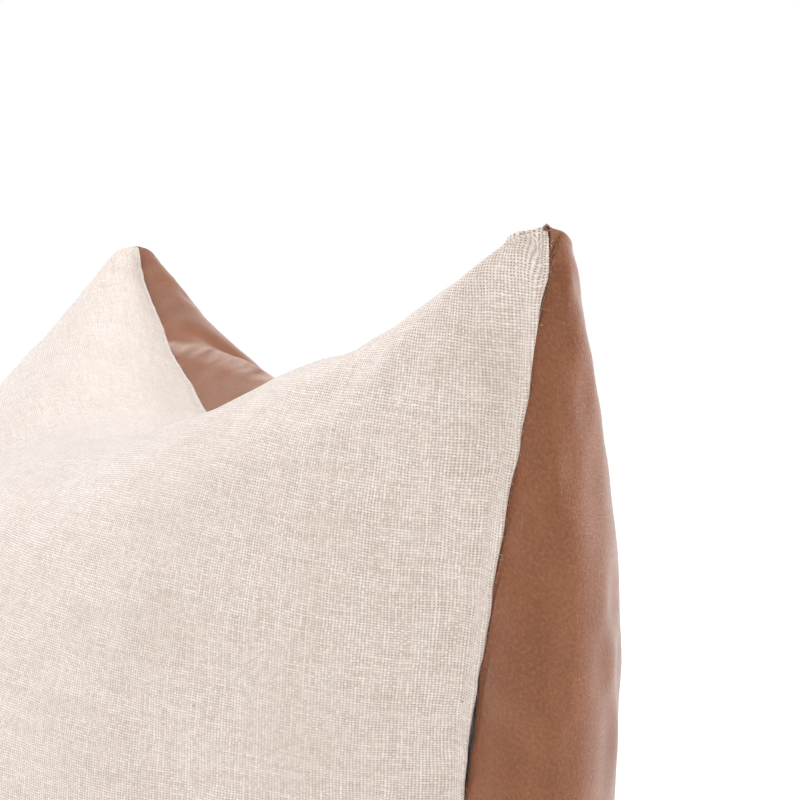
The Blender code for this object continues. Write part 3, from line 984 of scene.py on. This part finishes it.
def linen_material():
    n = Nodes("oatmeal_linen")
    place, across, up = n.flat_cut()
    wander = n.noise(place, 55.0, 2.0)
    wobble = n.noise(place, 380.0, 1.0)
    warp_at = n.scaled(wobble, 0.0004, n.scaled(wander, 0.0013, across))
    weft_at = n.scaled(wobble, -0.0004, n.scaled(wander, 0.0016, up))
    warp_at = n.math("DIVIDE", warp_at, WARP_PITCH)
    weft_at = n.math("DIVIDE", weft_at, WEFT_PITCH)
    warp_round, warp_wave, warp_tone = yarns(n, warp_at, weft_at, 11.0)
    weft_round, weft_wave, weft_tone = yarns(n, weft_at, warp_at, 47.0)
    warp_height = n.scaled(warp_wave, 0.20, warp_round)
    weft_height = n.scaled(weft_wave, -0.20, weft_round)
    height = n.math("MAXIMUM", warp_height, weft_height)
    warp_over = n.math("GREATER_THAN", warp_height, weft_height)
    tone = n.scaled(n.minus(1.0, warp_over), weft_tone, n.times(warp_over, warp_tone))
    fibre = n.noise(place, 4200.0, 2.0)
    crossing = n.white(n.scaled(n.math("ROUND", weft_at), 57.3, n.math("ROUND", warp_at)))
    tone = n.scaled(crossing, 0.35, tone)
    cloth = n.mix(n.ramp(tone, 0.1, 1.35), LINEN_CREAM, LINEN_TAN)
    patch = n.noise(place, 22.0, 3.0)
    cloth = n.tint(cloth, LINEN_TAN, patch, 0.45, 0.75, 0.35)
    # painted shade: where the yarns dip low, and most of all in the gaps between them, the linen is
    # darkened
    cloth = n.mix(n.ramp(height, 0.05, n.scaled(crossing, 0.30, 0.85)), LINEN_GAP_SHADE, cloth)
    fleck = n.noise(n.vector(n.times(across, 420.0), n.times(up, 1100.0)), 1.0, 1.0)
    cloth = n.mix(n.ramp(fleck, 0.74, 0.82), cloth, LINEN_FLECK)
    fuzz = n.scaled(fibre, 0.30, height)
    rough = n.scaled(fibre, 0.2, 0.75)
    return n.finish(
        cloth, rough, n.bump(fuzz, 0.00025), Sheen_Weight=0.80, Sheen_Roughness=0.45,
        Specular_IOR_Level=0.15,
    )


def leather_material():
    n = Nodes("tan_leather")
    place, across, up = n.flat_cut()
    cloudy = n.noise(place, 13.0, 4.0, 0.55)
    mottled = n.noise(place, 110.0, 3.0)
    color = n.mix(n.ramp(cloudy, 0.3, 0.72), LEATHER_DARK, LEATHER_LIGHT)
    color = n.tint(color, LEATHER_DARK, mottled, 0.42, 0.75, 0.35)
    grain = n.noise(place, 1000.0, 3.0, 0.6)
    color = n.tint(color, LEATHER_WORN, grain, 0.50, 0.72, 0.45)
    color = n.tint(color, LEATHER_DEEP, grain, 0.48, 0.30, 0.45)
    streaked = n.vector(n.times(across, 70.0), n.times(up, 22.0))
    streaks = n.noise(streaked, 1.0, 4.0, 0.65)
    color = n.tint(color, LEATHER_WORN, streaks, 0.5, 0.8, 0.30)
    pebble = n.cracks(place, 1150.0, 0.16)
    bent = n.vector(
        n.scaled(mottled, 0.004, across),
        n.times(n.scaled(cloudy, 0.02, up), 0.42),
    )
    crease = n.cracks(bent, 420.0, 0.06)
    ear = n.add("ShaderNodeVectorMath", operation="DISTANCE")
    n.put(ear.inputs[0], n.own_place())
    n.put(ear.inputs[1], (HALF_WIDTH, SEAM_Y + 0.004, EAR_HEIGHT - 0.018))
    by_ear = n.ramp(ear.outputs["Value"], 0.020, 0.006)
    where = n.math("MAXIMUM", n.ramp(n.noise(place, 30.0), 0.56, 0.70), by_ear)
    crease = n.times(n.minus(1.0, crease), where)
    fine = n.noise(place, 2600.0, 3.0)
    height = n.scaled(fine, 0.6, pebble)
    height = n.scaled(crease, -0.9, height)
    # painted shade: the crease lines are darkened a little toward LEATHER_DEEP
    color = n.mix(n.times(crease, 0.15), color, LEATHER_DEEP)
    hollow, crest = fold_masks(n, streaked)
    # painted shade: the far fold's hollow is darkened and made more orange
    color = n.mix(n.times(hollow, 0.85), color, LEATHER_HOLLOW_SHADE)
    # painted highlight: a pale band along the far fold's crest, where its gloss would catch the
    # light
    color = n.mix(n.times(crest, 0.75), color, LEATHER_CREST_HIGHLIGHT)
    rough = n.scaled(mottled, 0.16, 0.36)
    return n.finish(
        color, rough, n.bump(height, 0.00007, 0.9), Sheen_Weight=0.50, Sheen_Roughness=0.36,
        Specular_IOR_Level=0.28,
    )


def fold_masks(n, streaked):
    """Where painted shade darkens the far fold's hollow, and where a painted highlight lies pale
    along its crest.
    """
    x, y, z = n.split(n.own_place())
    back = n.minus(y, SEAM_Y)
    across = n.minus(n.scaled(back, -FOLD_SLOPE, x), FOLD_X)
    here = n.times(n.ramp(z, 0.375, 0.395), n.ramp(x, -0.06, -0.09))
    # mask of the hollow's painted shade, beside the fold's crest
    hollow = n.ramp(n.math("ABSOLUTE", n.plus(across, 0.0145)), 0.014, 0.004)
    # mask of the crest's painted highlight, streaked by noise
    crest = n.math("DIVIDE", across, n.scaled(back, 0.50, 0.0070))
    crest = n.times(n.ramp(crest, -0.35, 0.15), n.ramp(crest, 1.6, 0.3))
    crest = n.times(crest, n.ramp(n.noise(streaked, 2.0, 3.0), 0.20, 0.60))
    return n.times(hollow, here), n.times(crest, here)


def ticking_material():
    """Fine white twill, close enough to hold down."""
    n = Nodes("cotton_ticking")
    place, across, up = n.flat_cut()
    slope = n.plus(across, up)
    twill = n.ribs(slope, 0.0009)
    yarn = n.ribs(up, 0.0003)
    height = n.scaled(yarn, 0.3, twill)
    creased = n.noise(place, 40.0, 3.0)
    # painted shade: the low parts of the twill are darker
    color = n.mix(n.ramp(height, -1.3, 1.3), (0.74, 0.73, 0.70, 1), (0.87, 0.86, 0.83, 1))
    color = n.mix(n.times(creased, 0.3), color, (0.78, 0.76, 0.71, 1))
    return n.finish(color, n.ramp(creased, -1.5, 1.2), n.bump(height, 0.00008), Sheen_Weight=0.15)


def down_material():
    n = Nodes("white_down")
    place = n.own_place()
    tufts = n.noise(place, 60.0, 5.0, 0.65)
    barbs = n.noise(place, 900.0, 4.0, 0.7)
    color = n.mix(n.ramp(tufts, 0.3, 0.7), (0.72, 0.70, 0.65, 1), (0.90, 0.89, 0.86, 1))
    height = n.scaled(barbs, 0.4, tufts)
    return n.finish(color, n.ramp(barbs, -1.0, 1.0), n.bump(height, 0.004), Sheen_Weight=0.5)


def thread_material(name, light, dark):
    """Twisted sewing thread or a single flax fibre, with plies that catch the light."""
    n = Nodes(name)
    place = n.own_place()
    ply = n.noise(place, 2600.0, 2.0)
    color = n.mix(n.ramp(ply, 0.35, 0.65), dark, light)
    return n.finish(color, n.scaled(ply, 0.2, 0.6), n.bump(ply, 0.00008), Sheen_Weight=0.3)


def tape_material():
    """Zip tape in a fine herringbone."""
    n = Nodes("zip_tape_weave")
    parts = n.split(n.own_place())
    folded = n.math("PINGPONG", n.minus(parts[1], SEAM_Y), 0.0016)
    slanted = n.plus(parts[0], folded)
    rib = n.ribs(slanted, 0.0008)
    yarn = n.ribs(parts[1], 0.0004)
    height = n.scaled(yarn, 0.4, rib)
    # painted shade: the low parts of the herringbone are darker
    color = n.mix(n.ramp(height, -1.3, 1.3), (0.46, 0.39, 0.31, 1), (0.68, 0.60, 0.51, 1))
    return n.finish(color, n.ramp(height, -6.0, 3.0), n.bump(height, 0.00006), Sheen_Weight=0.2)


def coil_material():
    n = Nodes("nylon_coil")
    place = n.own_place()
    cloudy = n.noise(place, 700.0, 2.0)
    color = n.mix(cloudy, (0.52, 0.45, 0.37, 1), (0.72, 0.65, 0.56, 1))
    rough = n.scaled(cloudy, 0.2, 0.25)
    return n.finish(color, rough, n.bump(cloudy, 0.00002), Subsurface_Weight=0.05)


def brass_material():
    """Antique brass: brighter where it is rubbed, duller and darker in between."""
    n = Nodes("antique_brass")
    place = n.own_place()
    tarnish = n.noise(place, 420.0, 4.0, 0.6)
    scratched = n.noise(place, 4200.0, 2.0)
    color = n.mix(n.ramp(tarnish, 0.35, 0.65), (0.50, 0.36, 0.17, 1), (0.28, 0.19, 0.09, 1))
    rough = n.scaled(tarnish, 0.35, 0.16)
    return n.finish(color, rough, n.bump(scratched, 0.00002), Metallic=1.0)


# ---- studio ----
FLOOR_REACH = 4.0


def studio():
    scene = bpy.context.scene
    scene.view_settings.view_transform = "Standard"
    world = bpy.data.worlds.new("studio")
    scene.world = world
    world.use_nodes = True
    background = world.node_tree.nodes["Background"]
    background.inputs[0].default_value = (1.0, 1.0, 1.0, 1.0)
    background.inputs[1].default_value = 1.0
    n = Nodes("pale_floor")
    n.shader.inputs["Roughness"].default_value = 0.9
    n.shader.inputs["Specular IOR Level"].default_value = 0.0
    n.shader.inputs["Emission Color"].default_value = (1, 1, 1, 1)
    n.shader.inputs["Emission Strength"].default_value = 0.12
    speckle = n.noise(n.own_place(), 30.0, 2.0)
    pale = n.mix(speckle, (0.90, 0.90, 0.90, 1), (0.92, 0.92, 0.92, 1))
    n.put(n.shader.inputs["Base Color"], pale)
    corners = np.array([(-1, -1, 0), (1, -1, 0), (1, 1, 0), (-1, 1, 0)]) * FLOOR_REACH
    mesh_object("floor", corners, [(0, 1, 2, 3)], n.material)
    lamp("key", (-0.6, -1.6, 1.9), (0, 0, 0.3), 1.4, 13.0)
    lamp("top", (-0.1, 0.3, 2.2), (0, 0, 0.3), 1.2, 15.0)
    lamp("back", (0.6, 1.8, 0.4), (0.1, 0.05, 0.35), 1.0, 15.0)


def lamp(name, place, target, size, power):
    light = bpy.data.lights.new(name, "AREA")
    light.shape = "DISK"
    light.size = size
    light.energy = power
    made = in_scene(name, light)
    made.location = place
    made.rotation_euler = (Vector(target) - Vector(place)).to_track_quat("-Z", "Y").to_euler()


LENS = 84.8
CAMERA_PLACE = (0.6588, SEAM_Y - 0.1865, 0.4608)
CAMERA_DOWN = math.radians(4.05)
CAMERA_TURN = math.radians(70.41)


def camera():
    data = bpy.data.cameras.new("camera")
    data.lens = LENS
    data.sensor_width = 36.0
    made = in_scene("camera", data)
    made.location = CAMERA_PLACE
    made.rotation_euler = (math.pi / 2 - CAMERA_DOWN, 0.0, CAMERA_TURN)
    bpy.context.scene.camera = made


# ---- the pieces ----
LINEN_CREAM = (0.875, 0.780, 0.722, 1)
LINEN_TAN = (0.620, 0.510, 0.438, 1)
# painted shade for the gaps between the linen's yarns
LINEN_GAP_SHADE = (0.30, 0.215, 0.165, 1)
LINEN_FLECK = (0.34, 0.26, 0.21, 1)
LEATHER_DEEP = (0.130, 0.040, 0.016, 1)
LEATHER_DARK = (0.170, 0.056, 0.022, 1)
LEATHER_LIGHT = (0.270, 0.097, 0.039, 1)
LEATHER_WORN = (0.36, 0.150, 0.072, 1)
# painted shade for the far fold's hollow
LEATHER_HOLLOW_SHADE = (0.235, 0.070, 0.019, 1)
# painted highlight for the far fold's crest
LEATHER_CREST_HIGHLIGHT = (0.50, 0.355, 0.295, 1)

linen = linen_material()
leather = leather_material()
ticking = ticking_material()
down = down_material()
thread = thread_material("cream_thread", (0.78, 0.70, 0.60, 1), (0.56, 0.48, 0.39, 1))
flax = thread_material("flax_fibre", (0.93, 0.87, 0.80, 1), (0.80, 0.70, 0.60, 1))
tape = tape_material()
coil = coil_material()
brass = brass_material()

camera()
motion = settled()
linen_points, linen_places = cover_points(FRONT, PANEL_CELLS, motion[FRONT])
leather_points, leather_places = cover_points(BACK, PANEL_CELLS, motion[BACK])
linen_front = cover("linen_front", FRONT, linen_points, linen_places, linen)
leather_back = cover("leather_back", BACK, leather_points, leather_places, leather)
ticking_front = insert_shell("ticking_front", FRONT, motion[FRONT], ticking)
ticking_back = insert_shell("ticking_back", BACK, motion[BACK], ticking)
feathers = feather_fill("feather_fill", motion, down)

stitch_way = stitch_tree()
fibre_way = fibre_tree()
teeth_way = teeth_tree()
cover_stitches = stitches(
    "cover_stitches", cover_runs(linen_points), stitch_way, thread, COVER_THREAD, 3,
)
insert_lines = seam_runs(INSERT_DEPTH, INSERT_FLOOR, INSERT_STITCH_INSET)
insert_stitches = stitches(
    "insert_stitches", insert_lines, stitch_way, thread, INSERT_THREAD, 4,
)
SEAMS = ("right", "top", "left")
pieces = [
    (linen_front, ["front_panel"], "linen"),
    (leather_back, ["back_panel"], "leather"),
    (ticking_front, ["insert_front"], "ticking"),
    (ticking_back, ["insert_back"], "ticking"),
    (feathers, ["down_fill"], "down"),
    (cover_stitches, ["cover_seam_thread_" + seam for seam in SEAMS], "sewing_thread"),
    (insert_stitches, ["insert_seam_thread_" + seam for seam in SEAMS], "sewing_thread"),
]
for half in ("front", "back"):
    low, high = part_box("zipper_stitch_" + half)
    y = (low[1] + high[1]) / 2
    z = (low[2] + high[2]) / 2
    line = [(low[0], y, z), (high[0], y, z)]
    sewn = stitches("zip_stitches_" + half, [line], stitch_way, thread, INSERT_THREAD, 6)
    pieces.append((sewn, ["zipper_stitch_" + half], "sewing_thread"))
    teeth = zip_teeth("zip_teeth_" + half, "zipper_coil_" + half, teeth_way, coil)
    pieces.append((teeth, ["zipper_coil_" + half], "zip_coil"))

nap = grown(
    "linen_nap", outside_sheet("nap_base", linen_points), fibre_way, fibres_per_area=24000.0,
    fibre_length=0.0016, seed=9, fibre=flax,
)
fuzz = grown(
    "seam_fuzz", edge_strip("fuzz_base", linen_points), fibre_way, fibres_per_area=1.6e6,
    fibre_length=0.0014, seed=12, fibre=flax,
)
pieces += [(nap, [], "linen"), (fuzz, [], "linen")]

for piece, nodes, slot in pieces:
    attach(piece, "pillow")
    if nodes:
        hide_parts(*nodes)

FINISHES = {"zipper_tape": tape, "zipper_stop": brass, "zipper_slider": brass, "zipper_pull": brass}
for name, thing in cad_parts.items():
    for start, finish in FINISHES.items():
        if name.startswith(start):
            thing.material_slots[0].material = finish

studio()
